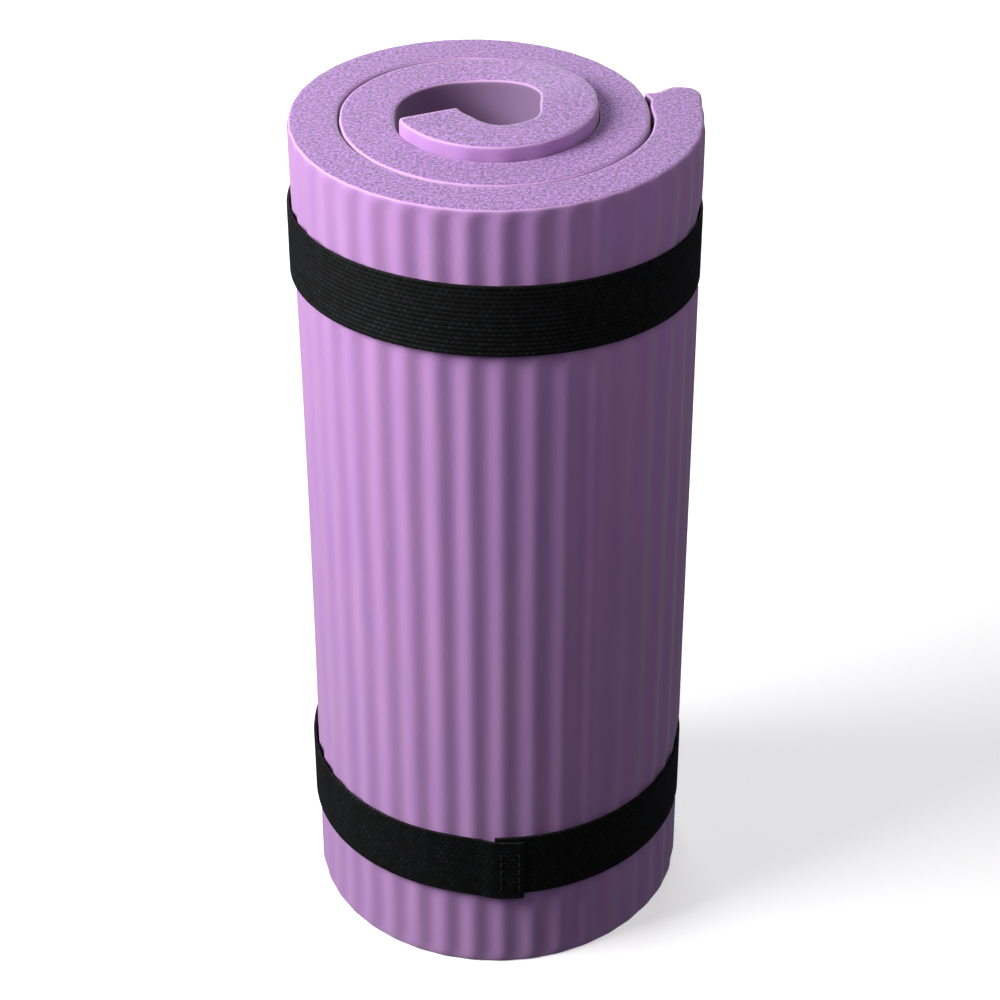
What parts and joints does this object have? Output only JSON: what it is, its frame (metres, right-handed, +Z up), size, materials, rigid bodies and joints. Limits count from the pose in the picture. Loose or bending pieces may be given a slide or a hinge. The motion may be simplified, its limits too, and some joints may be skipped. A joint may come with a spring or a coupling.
{
  "type": "rolled exercise mat with elastic bands",
  "caption": "Short thick foam exercise mat with a ribbed face, rolled into a spiral, standing on end and held closed by elastic bands that slide along the roll.",
  "frame": {"origin": "centre of the roll's foot, on the surface that it stands on", "axes": "+Z up along the roll; -Y the front, where the lower band's lap is; +X the right, where the mat's outer end is"},
  "size_m": [0.1116, 0.1081, 0.2538],
  "materials": {
    "foam": "closed-cell foam, satin ribbed skin, matt cut edges with fine cells",
    "elastic": "black ribbed elastic webbing",
    "thread": "black polyester sewing thread"
  },
  "bodies": {
    "mat": {"foam_mat": "foam"},
    "upper_band": {"upper_band_webbing": "elastic", "upper_band_stitching": "thread"},
    "lower_band": {"lower_band_webbing": "elastic", "lower_band_stitching": "thread"}
  },
  "joints": [
    {"name": "upper_band_slide", "type": "slide", "parent": "mat", "child": "upper_band", "axis": [0, 0, 1], "range_m": [-0.079, 0.036]},
    {"name": "lower_band_slide", "type": "slide", "parent": "mat", "child": "lower_band", "axis": [0, 0, 1], "range_m": [-0.0253, 0.0706]}
  ]
}
